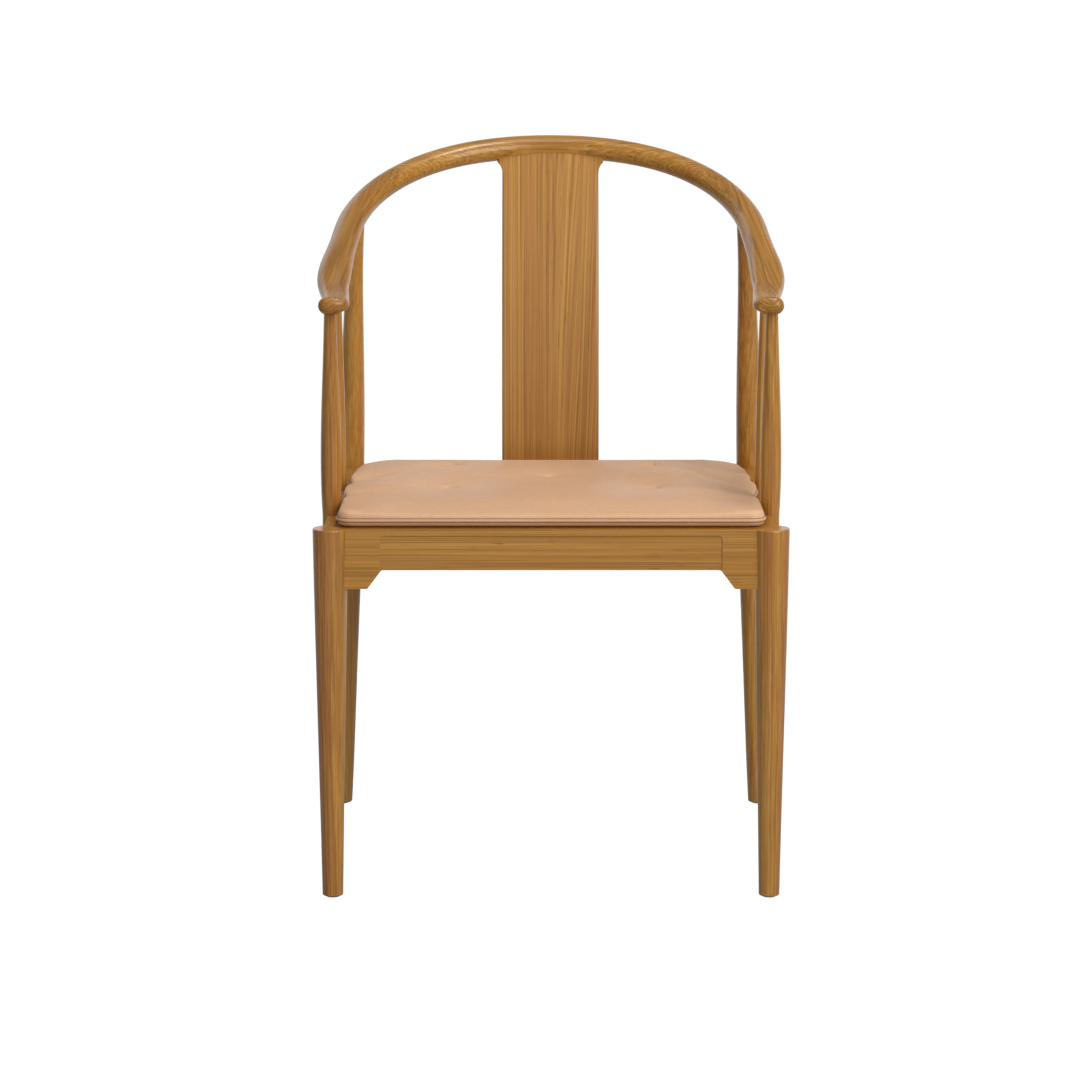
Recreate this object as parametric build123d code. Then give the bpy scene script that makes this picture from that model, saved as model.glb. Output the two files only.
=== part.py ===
from build123d import *
import math
import os

# Horseshoe back armchair. Millimetres, +Z up, the sitter faces -Y, origin on the floor under
# the middle of the chair. A name ending in "behind" is a distance behind the centre line of
# the front legs. Right-hand pieces (+X) are modelled and the left-hand ones mirrored.

# ---- Overall sizes
overall_height = 820.0
overall_depth = 557.0
seat_frame_height = 430.0
arm_height = 673.2
glue_gap = 0.1

# ---- Front legs, turned
front_leg_spacing = 501.0
front_leg_top_diameter = 40.0
front_leg_shoulder_diameter = 37.4
front_leg_knee_diameter = 31.2
front_leg_foot_diameter = 23.7
front_leg_shoulder_height = 347.0
front_leg_knee_height = 193.0
leg_top_round = 1.5
foot_round = 1.8

# ---- Rear legs, one bent piece from the floor to the bow
rear_foot_spacing = 514.0
rear_seat_spacing = 484.0
rear_foot_behind = 452.0
rear_seat_behind = 411.0
rear_leg_foot_diameter = 24.0
rear_leg_shin_diameter = 27.5
rear_leg_seat_diameter = 32.5
rear_leg_neck_diameter = 24.5
rear_leg_shin_height = 165.0
rear_leg_neck_height = 610.0
rear_leg_tenon_diameter = 13.0
rear_leg_tenon_length = 12.0

# ---- Bow: crest and arms
bow_half_width = 243.6
bow_turn_overlap = 7.5
bow_plan_power = 2.23
bow_width = 33.0
bow_crest_thickness = 29.0
bow_arm_thickness = 24.0
bow_leg_angle = 71.5
bow_section_angles = (0, 13, 26, 39, 52, 64, 75, 84)

# ---- Joint between crest and arm: a pointed end in a notch, with a loose tenon
bow_joint_angle = 50.0
bow_joint_point = 24.0
bow_tenon_width = 9.0
bow_tenon_height = 12.0
bow_tenon_length = 60.0

# ---- Arm ends: each row is behind, outward of the bow's half width, width, thickness,
# ---- twist in degrees and flatness of the top from 0 to 1
arm_stations = (
    (242.0, 2.4, 34.4, 23.6, 0.0, 0.2),
    (215.0, 5.3, 37.4, 22.4, 0.0, 0.5),
    (190.0, 7.1, 38.9, 21.0, 0.0, 0.8),
    (170.0, 7.6, 38.2, 20.0, 1.0, 1.0),
    (152.0, 7.1, 35.6, 19.0, 3.0, 1.0),
    (133.0, 5.1, 32.9, 18.4, 5.0, 1.0),
    (115.0, 3.2, 30.9, 18.0, 7.0, 1.0),
    (98.0, 1.8, 29.6, 17.8, 9.0, 0.8),
    (84.0, 0.8, 29.0, 17.4, 11.0, 0.6),
    (75.0, 0.0, 27.6, 16.8, 12.0, 0.4),
    (68.0, -1.6, 23.2, 14.8, 13.0, 0.2),
    (63.6, -3.0, 16.0, 11.0, 14.0, 0.0),
    (61.4, -3.7, 8.4, 6.4, 14.0, 0.0),
)
paddle_thickness = 18.0
lip_start_behind = 170.0
lip_end_behind = 75.0

# ---- Roll across the arm's end, egg shaped with its full end outward
roll_diameter = 20.4
roll_length = 33.0
roll_outward = 21.6
roll_behind = 68.5
roll_rise = 0.2
roll_tilt = 6.0

# ---- Arm supports
post_behind = 87.0
post_spacing = 505.0
post_base_diameter = 20.4
post_belly_diameter = 23.8
post_waist_diameter = 19.0
post_top_diameter = 13.4
post_belly_rise = 62.0
post_waist_rise = 156.0
post_lap_length = 34.0
post_tenon_diameter = 9.0
post_tenon_inward = 3.0
spindle_base_behind = 245.0
spindle_top_behind = 215.0
spindle_base_spacing = 494.5
spindle_top_spacing = 501.5
spindle_base_diameter = 12.0
spindle_belly_diameter = 13.5
spindle_top_diameter = 9.5
spindle_belly_rise = 90.0
spindle_tenon_diameter = 7.0
support_tenon_diameter = 8.0
support_tenon_length = 9.0
rail_socket_depth = 18.0
tenon_root = 2.0

# ---- Seat frame
rail_height = 47.0
rail_thickness = 20.0
front_rail_forward = 10.0
side_rail_outward = 8.0
rear_rail_backward = 13.0
bracket_drop = 21.5
bracket_flat_reach = 42.0
bracket_reach = 58.0
bracket_round = 3.0
field_reach = 56.5
field_margin = 7.2
field_recess = 1.2
field_corner_round = 4.5
tenon_thickness = 8.0
tenon_height = 28.0
tenon_shoulder = 1.5
tenon_clearance = 0.5
side_tenon_past = 6.0

# ---- Seat panel, corner blocks, screws and glides
seat_panel_thickness = 12.0
seat_panel_ledge = 7.0
seat_panel_gap = 0.5
leg_gap = 0.8
block_height = 26.0
block_reach = 52.0
block_end = 10.0
screw_diameter = 4.0
screw_head_diameter = 8.0
screw_head_height = 2.6
screw_length = 26.0
screw_gap = 0.1
screw_from_corner = 38.0
rail_screw_grip = 13.0
panel_screw_from_corner = 22.0
panel_screw_grip = 9.0
glide_diameter = 15.0
glide_thickness = 1.5
glide_shank_diameter = 3.0
glide_shank_length = 16.0

# ---- Back splat
splat_width = 117.0
splat_thickness = 12.0
splat_base_backward = 3.0
splat_belly_forward = 1.0
splat_belly_height = 520.0
splat_bend_backward = 27.0
splat_bend_height = 650.0
splat_seat_forward = 9.0
splat_seat_rise = 8.5
splat_edge_round = 2.5
splat_flare_width = 6.0
splat_flare_height = 12.0
splat_tenon_thickness = 6.0
splat_tenon_shoulder = 10.0
splat_tenon_depth = 15.0

# ---- Cushion
cushion_front_width = 483.0
cushion_side_width = 472.0
cushion_rear_width = 448.0
cushion_front_forward = 2.0
cushion_side_behind = 80.0
cushion_rear_behind = 369.0
cushion_thickness = 16.5
cushion_gap = 0.3
cushion_front_round = 14.0
cushion_rear_round = 64.0
cushion_side_round = 300.0
cushion_edge_round = 6.0
cover_thickness = 1.6
piping_diameter = 4.0
piping_proud = 0.8
button_diameter = 13.0
button_height = 3.6
button_sink = 1.6
button_round = 2.1
button_spacing = 236.0
button_front_behind = 165.0
button_rear_behind = 320.0

# ---- Worked out from the sizes above
front_leg_x = front_leg_spacing / 2
front_leg_y = -overall_depth / 2 + front_leg_top_diameter / 2
crest_y = overall_depth / 2 - bow_width / 2
crest_z = overall_height - bow_crest_thickness / 2
bow_turn_y = front_leg_y + arm_stations[0][0] - bow_turn_overlap
bow_round_depth = crest_y - bow_turn_y
lip_start_y = front_leg_y + lip_start_behind
lip_end_y = front_leg_y + lip_end_behind
bow_fall = (crest_z - arm_height) / (crest_y - (lip_start_y + lip_end_y) / 2)
splat_base_behind = rear_seat_behind + splat_base_backward
splat_belly_behind = splat_base_behind - splat_belly_forward
splat_bend_behind = splat_base_behind + splat_bend_backward
rail_top = seat_frame_height
rail_bottom = rail_top - rail_height
bracket_bottom = rail_bottom - bracket_drop
foot_z = glide_thickness
standing = (Align.CENTER, Align.CENTER, Align.MIN)
hanging = (Align.CENTER, Align.CENTER, Align.MAX)


def behind(distance):
    """Y of a place given by its distance behind the front legs' centre line."""
    return front_leg_y + distance


def mirrored(solid):
    return mirror(solid, about=Plane.YZ)


def save(shape, node):
    export_step(shape, f"parts/{node}.step")


def save_pair(right, node):
    """Write a right-hand piece and its mirrored twin."""
    save(right, f"{node}_right")
    save(mirrored(right), f"{node}_left")


def blend(start, end, share):
    return start + (end - start) * share


def beam(start, end, width, height):
    """Rectangular bar between two points, with its height upright."""
    middle = (start + end) / 2
    bar = Box(width, height, (end - start).length)
    across = (end - start).cross(Vector(0, 0, 1)).normalized()
    return Plane(middle, x_dir=across, z_dir=(end - start).normalized()) * bar


def rod(start, end, diameter):
    """Round bar between two points."""
    bar = Cylinder(diameter / 2, (end - start).length, align=standing)
    return Plane(start, z_dir=(end - start).normalized()) * bar


def below(level):
    """Block of everything under a level, to cut pieces off flat."""
    size = 2 * overall_depth
    return Pos(0, 0, level) * Box(size, size, size, align=hanging)


def turned(stations):
    """Solid turned about Z, through (height, diameter) stations joined by one smooth curve."""
    low, high = stations[0][0], stations[-1][0]
    curve = Spline([(diameter / 2, height) for height, diameter in stations])
    closing = Polyline(curve @ 1, (0, high), (0, low), curve @ 0)
    return revolve(Plane.XZ * make_face(curve + closing), Axis.Z)


# ---------------------------------------------------------------- bow: crest and arms
def bow_level(y):
    """Height of the bow's centre: an even fall from the crest, eased level along the arm's lip."""
    if y >= lip_start_y:
        return crest_z - bow_fall * (crest_y - y)
    rise = max(y - lip_end_y, 0.0) ** 2 / (2 * (lip_start_y - lip_end_y))
    return arm_height + bow_fall * rise


def bow_point(angle):
    """Centre of the bow: a superellipse in plan that falls from the crest to the arms."""
    turn = math.radians(angle)
    x = bow_half_width * math.sin(turn) ** (2 / bow_plan_power)
    y = bow_turn_y + bow_round_depth * math.cos(turn) ** (2 / bow_plan_power)
    return Vector(x, y, bow_level(y))


def bow_tangent(angle):
    """Direction of the bow from the crest towards the right arm, level at the crest."""
    if angle == 0:
        return Vector(1, 0, 0)
    step = 0.5
    return (bow_point(angle + step) - bow_point(angle - step)).normalized()


def oval(centre, tangent, width, thickness, twist=0.0, flat=0.0):
    """Closed section of the bow, square to its tangent, its inner edge raised by the twist."""
    level = Vector(0, 0, 1).cross(tangent).normalized()
    upright = tangent.cross(level).normalized()
    turn = math.radians(twist)
    outward = level * math.cos(turn) - upright * math.sin(turn)
    lift = upright * math.cos(turn) + level * math.sin(turn)
    shape = (
        (0.0, -1.0),
        (0.72, -0.70),
        (1.0, 0.02),
        (blend(0.72, 0.84, flat), blend(0.72, 0.76, flat)),
        (blend(0.04, 0.0, flat), blend(1.0, 0.92, flat)),
        (blend(-0.76, -0.86, flat), blend(0.62, 0.78, flat)),
        (-1.0, -0.08),
        (-0.73, -0.71),
    )
    points = [
        centre + outward * (across * width / 2) + lift * (rise * thickness / 2)
        for across, rise in shape
    ]
    return Wire([Edge.make_spline(points, periodic=True)])


def arm_centre(row):
    """Centre of the right arm at one row of its stations."""
    y = behind(row[0])
    return Vector(bow_half_width + row[1], y, bow_level(y))


def arm_sections():
    """Sections from the crest round the right-hand side to the tip of the arm."""
    sections = []
    for angle in bow_section_angles:
        thickness = blend(bow_crest_thickness, bow_arm_thickness, angle / 90)
        sections.append(oval(bow_point(angle), bow_tangent(angle), bow_width, thickness))
    centres = [bow_point(bow_section_angles[-1])]
    centres += [arm_centre(row) for row in arm_stations]
    centres.append(centres[-1] + Vector(0, -1, 0))
    for before, row, centre, after in zip(centres, arm_stations, centres[1:], centres[2:]):
        tangent = (after - before).normalized()
        sections.append(oval(centre, tangent, *row[2:]))
    return sections


def make_half_bow():
    """Right half of the bow in one smooth loft, carried past the middle so the crest runs level."""
    right = arm_sections()
    past = [section.mirror(Plane.YZ) for section in right[3:0:-1]]
    return split(Solid.make_loft([*past, *right]), bisect_by=Plane.YZ, keep=Keep.TOP)


def make_roll():
    """Egg-shaped roll across the end of the right arm, fullest near its outer tip."""
    radius = roll_diameter / 2
    full_end = split(Sphere(radius), bisect_by=Plane.XY, keep=Keep.BOTTOM)
    slim_end = split(Sphere(radius), bisect_by=Plane.XY, keep=Keep.TOP)
    slim_end = scale(slim_end, by=(1, 1, roll_length / radius - 1))
    tip = Vector(bow_half_width + roll_outward, behind(roll_behind), arm_height + roll_rise)
    tilt = math.radians(roll_tilt)
    inward = Vector(-math.cos(tilt), 0, math.sin(tilt))
    fullest = tip + inward * radius
    return Plane(fullest, x_dir=(0, 1, 0), z_dir=inward) * (full_end + slim_end)


def crest_room():
    """Everything on the crest's side of the right-hand joint, out to the point of its end."""
    centre, along = bow_point(bow_joint_angle), bow_tangent(bow_joint_angle)
    radial = Vector(0, 0, 1).cross(along).normalized()
    far, half, tip = overall_depth, bow_crest_thickness / 2, bow_joint_point / 2
    outline = Polyline(
        (-far, -far),
        (-tip, -far),
        (-tip, -half),
        (tip, 0),
        (-tip, half),
        (-tip, far),
        (-far, far),
        close=True,
    )
    side = Plane(centre, x_dir=along, z_dir=-radial)
    return extrude(side * make_face(outline), far, both=True)


def make_bow_tenon(gap=0.0):
    """Loose tenon that joins the right-hand arm to the crest, or with a gap its socket."""
    centre = bow_point(bow_joint_angle)
    reach = bow_tangent(bow_joint_angle) * (bow_tenon_length / 2 + gap)
    return beam(centre - reach, centre + reach, bow_tenon_width + 2 * gap, bow_tenon_height + 2 * gap)


# ---------------------------------------------------------------- legs
def make_front_leg(extra=0.0):
    """Right front leg, or its room in another piece when made wider by extra."""
    stations = (
        (foot_z, front_leg_foot_diameter + extra),
        (front_leg_knee_height, front_leg_knee_diameter + extra),
        (front_leg_shoulder_height, front_leg_shoulder_diameter + extra),
        (rail_top, front_leg_top_diameter + extra),
    )
    leg = turned(stations)
    if extra == 0:
        ends = leg.edges().filter_by(GeomType.CIRCLE).sort_by(Axis.Z)
        leg = fillet(ends[-1], leg_top_round)
        ends = leg.edges().filter_by(GeomType.CIRCLE).sort_by(Axis.Z)
        leg = fillet(ends[0], foot_round)
    return Pos(front_leg_x, front_leg_y, 0) * leg


def rear_leg_centre(height):
    """Centre of the right rear leg: a parabola through its foot, its seat and the bow."""
    top = bow_point(bow_leg_angle)
    places = (
        Vector(rear_foot_spacing / 2, behind(rear_foot_behind), 0.0),
        Vector(rear_seat_spacing / 2, behind(rear_seat_behind), rail_top),
        top,
    )
    centre = Vector(0, 0, 0)
    for place in places:
        share = 1.0
        for other in places:
            if other is not place:
                share *= (height - other.Z) / (place.Z - other.Z)
        centre += place * share
    return centre


def make_rear_leg(extra=0.0):
    """Right rear leg up to the middle of the bow, or its room when made wider by extra."""
    stations = (
        (foot_z, rear_leg_foot_diameter),
        (rear_leg_shin_height, rear_leg_shin_diameter),
        (rail_bottom, rear_leg_seat_diameter),
        (rail_top, rear_leg_seat_diameter),
        (rear_leg_neck_height, rear_leg_neck_diameter),
        (bow_point(bow_leg_angle).Z, rear_leg_neck_diameter),
    )
    rings = []
    for height, diameter in stations:
        ring = Plane(rear_leg_centre(height)) * Circle((diameter + extra) / 2)
        rings.append(ring.wire())
    leg = Solid.make_loft(rings)
    if extra == 0:
        leg = fillet(leg.edges().sort_by(Axis.Z)[0], foot_round)
    return leg


def rear_leg_tenon(gap=0.0):
    """Round tenon at the top of the right rear leg, up into the bow."""
    top = rear_leg_centre(bow_point(bow_leg_angle).Z)
    below = rear_leg_centre(top.Z - bow_arm_thickness)
    along = (top - below).normalized()
    end = top + along * (gap + rear_leg_tenon_length - bow_arm_thickness / 2)
    return rod(below, end, rear_leg_tenon_diameter + 2 * gap)


# ---------------------------------------------------------------- seat frame
def side_plane():
    """Frame of the right side rail: x from front leg to rear leg, y inward, z up."""
    start = Vector(front_leg_x, front_leg_y, 0)
    end = Vector(rear_seat_spacing / 2, behind(rear_seat_behind), 0)
    return Plane(start, x_dir=(end - start).normalized(), z_dir=(0, 0, 1))


def side_length():
    start = Vector(front_leg_x, front_leg_y, 0)
    end = Vector(rear_seat_spacing / 2, behind(rear_seat_behind), 0)
    return (end - start).length


def rail_blank(length):
    """Rail with a bracket at each end and a sunk field: x along it, y inward, z up."""
    flat_end = bracket_flat_reach
    slope_end = bracket_reach
    outline = Polyline(
        (0, rail_top),
        (0, bracket_bottom),
        (flat_end, bracket_bottom),
        (slope_end, rail_bottom),
        (length - slope_end, rail_bottom),
        (length - flat_end, bracket_bottom),
        (length, bracket_bottom),
        (length, rail_top),
        close=True,
    )
    face = make_face(outline)
    inner = face.vertices().sort_by(Axis.X)[2:-2]
    face = fillet(inner, bracket_round)
    blank = extrude(Plane.XZ * face, -rail_thickness)
    field_length = length - 2 * field_reach
    field_height = rail_top - field_margin - rail_bottom
    field = Pos(length / 2, rail_bottom + field_height / 2) * Rectangle(field_length, field_height)
    corners = field.vertices().sort_by(Axis.Y)[-2:]
    field = fillet(corners, field_corner_round)
    return blank - extrude(Plane.XZ * field, -field_recess)


def rail_tenon(start, end, gap=0.0):
    """Tenon along x from start to end, in the middle of a rail that begins at y = 0."""
    box = Box(end - start + 2 * gap, tenon_thickness + 2 * gap, tenon_height + 2 * gap)
    middle = rail_top - seat_panel_thickness - tenon_shoulder - tenon_height / 2
    return Pos((start + end) / 2, rail_thickness / 2, middle) * box


def cross_tenons(length, gap=0.0):
    """Tenons of the front or rear rail, kept clear of those of the side rails."""
    side_middle = rail_thickness / 2 - side_rail_outward
    tip = side_middle + tenon_thickness / 2 + tenon_clearance
    root = bracket_flat_reach
    return rail_tenon(tip, root, gap) + rail_tenon(length - root, length - tip, gap)


def side_tenons(length, gap=0.0):
    """Tenons of a side rail, past the middle of each leg."""
    root, past = bracket_flat_reach, side_tenon_past
    return rail_tenon(-past, root, gap) + rail_tenon(length - root, length + past, gap)


def seat_panel_blank(gap=0.0):
    """Seat panel before it is notched for the legs, smaller all round by gap."""
    side = side_plane()
    inset = rail_thickness - side_rail_outward - seat_panel_ledge + gap
    near = side.from_local_coords(Vector(0, inset, 0))
    far = side.from_local_coords(Vector(side_length(), inset, 0))
    front_y = front_leg_y - front_rail_forward + rail_thickness - seat_panel_ledge + gap
    rear_y = behind(rear_seat_behind) + rear_rail_backward - rail_thickness + seat_panel_ledge - gap
    slope = (far.X - near.X) / (far.Y - near.Y)
    front_x = near.X + slope * (front_y - near.Y)
    rear_x = near.X + slope * (rear_y - near.Y)
    corners = [(-front_x, front_y), (front_x, front_y), (rear_x, rear_y), (-rear_x, rear_y)]
    face = make_face(Polyline(*corners, close=True))
    return Pos(0, 0, rail_top - seat_panel_thickness) * extrude(face, seat_panel_thickness)


# ---------------------------------------------------------------- arm supports
def make_post():
    """Right arm post along Z from the rail top, with the lap that hangs outside the rail."""
    stations = (
        (0.0, post_base_diameter),
        (post_belly_rise, post_belly_diameter),
        (post_waist_rise, post_waist_diameter),
        (bow_level(behind(post_behind)) - rail_top, post_top_diameter),
    )
    stem = Pos(post_spacing / 2, behind(post_behind), rail_top) * turned(stations)
    radius = post_base_diameter / 2
    straight = post_lap_length - radius
    lap = Pos(0, 0, -straight / 2) * Cylinder(radius, straight)
    lap += Pos(0, 0, -straight) * Sphere(radius)
    lap = Pos(post_spacing / 2, behind(post_behind), rail_top) * lap
    side = side_plane()
    room = Box(side_length(), 4 * radius, rail_top, align=(Align.MIN, Align.MIN, Align.MIN))
    lap -= side * (Pos(0, -side_rail_outward, 0) * room)
    return stem + (lap & below(rail_top))


def post_tenons(gap=0.0):
    """Round tenons of the right post: down into the rail, and up into the arm."""
    x, y = post_spacing / 2, behind(post_behind)
    low = Vector(x - post_tenon_inward, y, rail_top - rail_socket_depth - gap)
    root = Vector(x - post_tenon_inward, y, rail_top + tenon_root)
    foot = rod(low, root, post_tenon_diameter + 2 * gap)
    level = bow_level(y) - paddle_thickness
    neck = Vector(x, y, level)
    high = Vector(x, y, level + paddle_thickness / 2 + support_tenon_length + gap)
    return foot, rod(neck, high, support_tenon_diameter + 2 * gap)


def spindle_ends():
    base = Vector(spindle_base_spacing / 2, behind(spindle_base_behind), rail_top)
    top_y = behind(spindle_top_behind)
    top = Vector(spindle_top_spacing / 2, top_y, bow_level(top_y))
    return base, top


def make_spindle():
    """Right side spindle from the rail top to the middle of the arm, leaning to the arm."""
    base, top = spindle_ends()
    length = (top - base).length
    stations = (
        (-spindle_base_diameter / 2, spindle_base_diameter),
        (spindle_belly_rise, spindle_belly_diameter),
        (length, spindle_top_diameter),
    )
    stem = Plane(base, z_dir=(top - base).normalized()) * turned(stations)
    return stem - below(rail_top)


def spindle_tenons(gap=0.0):
    base, top = spindle_ends()
    along = (top - base).normalized()
    low = base - along * (rail_socket_depth + gap)
    foot = rod(low, base + along * tenon_root, spindle_tenon_diameter + 2 * gap)
    neck = top - along * bow_arm_thickness
    high = top + along * (support_tenon_length - bow_arm_thickness / 2 + gap)
    return foot, rod(neck, high, spindle_tenon_diameter + 2 * gap)


# ---------------------------------------------------------------- back splat
def splat_top():
    """Middle of the splat's upper end, at the front of the crest's underside."""
    return Vector(0, crest_y - splat_seat_forward, crest_z - bow_crest_thickness / 2 + splat_seat_rise)


def splat_band(width):
    """Board of one width, bent along the splat's side view."""
    top = splat_top()
    path = Spline(
        (0, behind(splat_base_behind), rail_top - splat_thickness),
        (0, behind(splat_belly_behind), splat_belly_height),
        (0, behind(splat_bend_behind), splat_bend_height),
        (0, top.Y, top.Z),
    )
    start = Plane(path @ 0, x_dir=(1, 0, 0), z_dir=path % 0)
    return sweep(start * RectangleRounded(width, splat_thickness, splat_edge_round), path)


def splat_flare():
    """Corner of the right edge of the splat, sweeping out under the crest."""
    edge = splat_width / 2
    turn = math.degrees(math.asin((edge / bow_half_width) ** (bow_plan_power / 2)))
    under = bow_point(turn).Z - bow_crest_thickness / 2
    foot = under - splat_flare_height
    top = splat_top().Z + splat_thickness
    curve = TangentArc((edge, foot), (edge + splat_flare_width, under), tangent=(0, 1))
    rest = Polyline(
        (edge + splat_flare_width, under),
        (edge + splat_flare_width, top),
        (edge - splat_edge_round, top),
        (edge - splat_edge_round, foot),
        (edge, foot),
    )
    return extrude(Plane.XZ * make_face(curve + rest), overall_depth, both=True)


def splat_tenon(gap=0.0):
    """Tenon at the foot of the splat, down into the rear rail."""
    width = splat_width - 2 * splat_tenon_shoulder + 2 * gap
    depth = splat_tenon_depth + tenon_root + gap
    tenon = Box(width, splat_tenon_thickness + 2 * gap, depth, align=hanging)
    return Pos(0, behind(splat_base_behind), rail_top + tenon_root) * tenon


def make_splat():
    board = splat_band(splat_width)
    wide = splat_band(splat_width + 2 * splat_flare_width)
    flare = wide & splat_flare()
    board += flare
    board += mirrored(flare)
    return board - below(rail_top) + splat_tenon()


# ---------------------------------------------------------------- seat hardware
def screw(length, gap=0.0):
    """Countersunk screw, head at the origin, pointing down; with a gap it is the screw's hole."""
    head = Cone(
        screw_diameter / 2 + gap,
        screw_head_diameter / 2 + gap,
        screw_head_height,
        align=hanging,
    )
    shank = Cylinder(screw_diameter / 2 + gap, length + gap, align=hanging)
    body = head + shank
    if gap > 0:
        body += Cylinder(screw_head_diameter / 2 + gap, length, align=standing)
    return body


def make_glide(x, y):
    disc = Cylinder(glide_diameter / 2, glide_thickness, align=standing)
    return Pos(x, y, 0) * disc + glide_shank(x, y)


def glide_shank(x, y, gap=0.0):
    start = Vector(x, y, glide_thickness / 2)
    end = Vector(x, y, glide_thickness + glide_shank_length + gap)
    return rod(start, end, glide_shank_diameter + 2 * gap)


class Corner:
    """Inner corner of the seat frame on the right, where a block is glued and screwed."""

    def __init__(self, rear):
        side = side_plane()
        facing = -1 if rear else 1
        inset = rail_thickness - side_rail_outward
        front_face = front_leg_y - front_rail_forward + rail_thickness
        rear_face = behind(rear_seat_behind) + rear_rail_backward - rail_thickness
        face_y = rear_face if rear else front_face
        near = side.from_local_coords(Vector(0, inset, 0))
        along = Vector(side.x_dir.X, side.x_dir.Y, 0)
        self.point = near + along * ((face_y - near.Y) / along.Y)
        self.along = along * facing
        self.inward = Vector(side.y_dir.X, side.y_dir.Y, 0)
        self.across = Vector(0, facing, 0)
        self.top = rail_top - seat_panel_thickness

    def at(self, sideways, lengthways):
        """Place so far from the side rail and so far from the front or rear rail."""
        return self.point + Vector(-sideways, 0, 0) + self.along * lengthways

    def block(self):
        reach, end = block_reach, block_end
        places = ((0, 0), (reach, 0), (reach, end), (end, reach), (0, reach))
        corners = [self.at(sideways, lengthways) for sideways, lengthways in places]
        face = make_face(Polyline(*[(corner.X, corner.Y) for corner in corners], close=True))
        return Pos(0, 0, self.top - block_height) * extrude(face, block_height)

    def screws(self, gap=0.0):
        middle = Vector(0, 0, self.top - block_height / 2)
        lift = Vector(0, 0, self.top + panel_screw_grip - screw_length)
        head = screw_length - rail_screw_grip
        places = (
            (self.at(screw_from_corner, 0) + self.across * head + middle, self.across),
            (self.at(0, screw_from_corner) + self.inward * head + middle, self.inward),
            (self.at(panel_screw_from_corner, panel_screw_from_corner) + lift, Vector(0, 0, -1)),
        )
        return [Plane(place, z_dir=axis) * screw(screw_length, gap) for place, axis in places]


# ---------------------------------------------------------------- cushion
def cushion_outline(inset=0.0):
    """Plan of the cushion: wide in front of the arm posts, narrower between them."""
    front_y = front_leg_y - cushion_front_forward + inset
    side_y = behind(cushion_side_behind)
    rear_y = behind(cushion_rear_behind) - inset
    front_x = cushion_front_width / 2 - inset
    side_x = cushion_side_width / 2 - inset
    rear_x = cushion_rear_width / 2 - inset
    right = [(front_x, front_y), (side_x, side_y), (rear_x, rear_y)]
    left = [(-x, y) for x, y in reversed(right)]
    face = make_face(Polyline(*right, *left, close=True))
    corners = face.vertices().sort_by(Axis.Y)
    face = fillet(corners[2:4], cushion_side_round)
    corners = face.vertices().sort_by(Axis.Y)
    face = fillet(corners[:2], cushion_front_round - inset)
    corners = face.vertices().sort_by(Axis.Y)
    return fillet(corners[-2:], cushion_rear_round - inset)


def cushion_block(inset=0.0):
    """Soft block with rounded edges, smaller all round by inset."""
    height = cushion_thickness - 2 * inset
    base = rail_top + cushion_gap + inset
    block = Pos(0, 0, base) * extrude(cushion_outline(inset), height)
    rims = block.faces().filter_by(Axis.Z).edges()
    return fillet(rims, cushion_edge_round - inset)


def make_piping():
    """Round cord sewn all round the cushion's edge."""
    ring = cushion_outline(-piping_proud).face().outer_wire()
    path = Pos(0, 0, rail_top + cushion_gap + cushion_thickness / 2) * ring
    start = Plane(path @ 0, z_dir=path % 0)
    return sweep(start * Circle(piping_diameter / 2), path)


def button_places():
    middle = (button_front_behind + button_rear_behind) / 2
    rows = (button_front_behind, button_rear_behind)
    wide = [(side * button_spacing / 2, row) for side in (-1, 1) for row in rows]
    return [(x, behind(row)) for x, row in [*wide, (0.0, middle)]]


def make_button(x, y):
    disc = Cylinder(button_diameter / 2, button_height, align=standing)
    disc = fillet(disc.edges().filter_by(GeomType.CIRCLE).sort_by(Axis.Z)[-1], button_round)
    return Pos(x, y, rail_top + cushion_gap + cushion_thickness - button_sink) * disc


# ---------------------------------------------------------------- fitting the pieces together
def make_supports(arm_blank):
    """Arm post and spindle, shouldered against the underside of the arm."""
    post = make_post() - arm_blank
    for tenon in post_tenons():
        post += tenon
    spindle = make_spindle() - arm_blank
    for tenon in spindle_tenons():
        spindle += tenon
    return post, spindle


def support_sockets():
    """Holes for the tenons of the post and the spindle: those in the rail, those in the arm."""
    post_foot, post_neck = post_tenons(glue_gap)
    spindle_foot, spindle_neck = spindle_tenons(glue_gap)
    return post_foot + spindle_foot, post_neck + spindle_neck


def both_sides(solid):
    return [solid, mirrored(solid)]


def cut(solid, tools):
    for tool in tools:
        solid -= tool
    return solid


def build_bow(splat):
    """Write the crest, the arms and their loose tenons, and return the uncut right arm."""
    half = make_half_bow()
    room = crest_room()
    arm_blank = half - room + make_roll()
    crest_half = half & room
    socket = make_bow_tenon(glue_gap)
    arm = cut(arm_blank, [socket, rear_leg_tenon(glue_gap), support_sockets()[1]])
    crest = cut(crest_half + mirrored(crest_half), [*both_sides(socket), splat])
    save_pair(arm, "arm")
    save(crest, "crest_rail")
    save_pair(make_bow_tenon(), "bow_tenon")
    return arm_blank


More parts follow.
